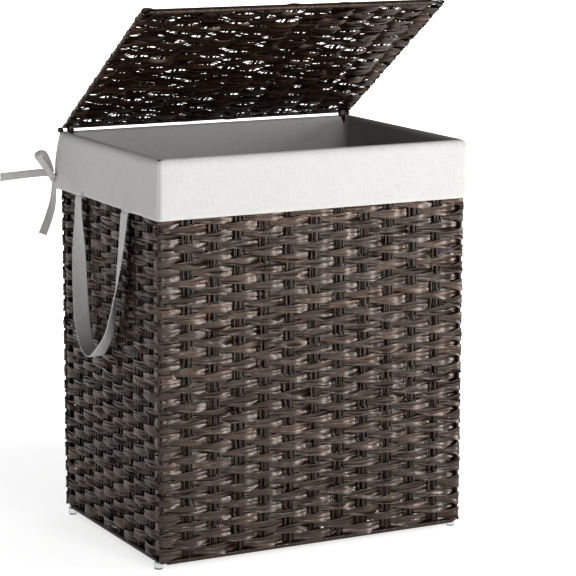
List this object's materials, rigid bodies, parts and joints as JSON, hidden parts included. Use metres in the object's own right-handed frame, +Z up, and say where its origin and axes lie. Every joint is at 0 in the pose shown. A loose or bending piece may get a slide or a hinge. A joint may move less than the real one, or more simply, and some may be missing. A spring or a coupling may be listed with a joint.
{
  "type": "woven laundry hamper",
  "caption": "Tall rectangular hamper of wire-framed woven panels, with a lashed lid, a folded-over cloth liner, webbing handles and clear glides.",
  "frame": {"origin": "on the floor, under the middle of the hamper", "axes": "+Z up, -Y towards the front, where the lid opens; +X to the right seen from the front"},
  "size_m": [0.6358, 0.3522, 0.7373],
  "materials": {
    "coated_wire": "satin dark brown coated wire",
    "strand": "crumpled flat plastic strand, dark brown with a silvery sheen",
    "liner_cotton": "plain-weave cotton, off-white",
    "webbing": "flat cotton webbing, off-white",
    "clear_plastic": "clear moulded plastic"
  },
  "bodies": {
    "hamper": {"front_frame": "coated_wire", "front_weave": "strand", "back_frame": "coated_wire", "back_weave": "strand", "left_frame": "coated_wire", "left_weave": "strand", "right_frame": "coated_wire", "right_weave": "strand", "floor_frame": "coated_wire", "floor_weave": "strand", "front_bottom_wrap": "strand", "back_bottom_wrap": "strand", "left_bottom_wrap": "strand", "right_bottom_wrap": "strand", "corner_tie_front_left_low": "strand", "corner_tie_front_left_middle": "strand", "corner_tie_front_left_high": "strand", "corner_tie_front_right_low": "strand", "corner_tie_front_right_middle": "strand", "corner_tie_front_right_high": "strand", "corner_tie_back_left_low": "strand", "corner_tie_back_left_middle": "strand", "corner_tie_back_left_high": "strand", "corner_tie_back_right_low": "strand", "corner_tie_back_right_middle": "strand", "corner_tie_back_right_high": "strand", "hinge_lashing_left": "strand", "hinge_lashing_right": "strand", "glide_front_left": "clear_plastic", "glide_front_right": "clear_plastic", "glide_back_left": "clear_plastic", "glide_back_right": "clear_plastic", "liner_front": "liner_cotton", "liner_back": "liner_cotton", "liner_left": "liner_cotton", "liner_right": "liner_cotton", "liner_floor": "liner_cotton", "bow_knot_left": "webbing", "bow_loop_left": "webbing", "bow_tail_out_left": "webbing", "bow_tail_down_left": "webbing", "bow_knot_right": "webbing", "bow_loop_right": "webbing", "bow_tail_out_right": "webbing", "bow_tail_down_right": "webbing"},
    "lid": {"lid_frame": "coated_wire", "lid_weave": "strand", "lid_front_wrap": "strand"},
    "handle_left": {"handle_left": "webbing"},
    "handle_right": {"handle_right": "webbing"}
  },
  "joints": [
    {"name": "lid_hinge", "type": "hinge", "parent": "hamper", "child": "lid", "pos_m": [0, 0.161, 0.5556], "axis": [-1, 0, 0], "range_deg": [-33.5, 150]},
    {"name": "handle_left_swing", "type": "hinge", "parent": "hamper", "child": "handle_left", "pos_m": [-0.236, 0.0095, 0.4638], "axis": [0, 1, 0], "range_deg": [0, 150]},
    {"name": "handle_right_swing", "type": "hinge", "parent": "hamper", "child": "handle_right", "pos_m": [0.236, 0.0095, 0.4638], "axis": [0, -1, 0], "range_deg": [0, 150]}
  ]
}
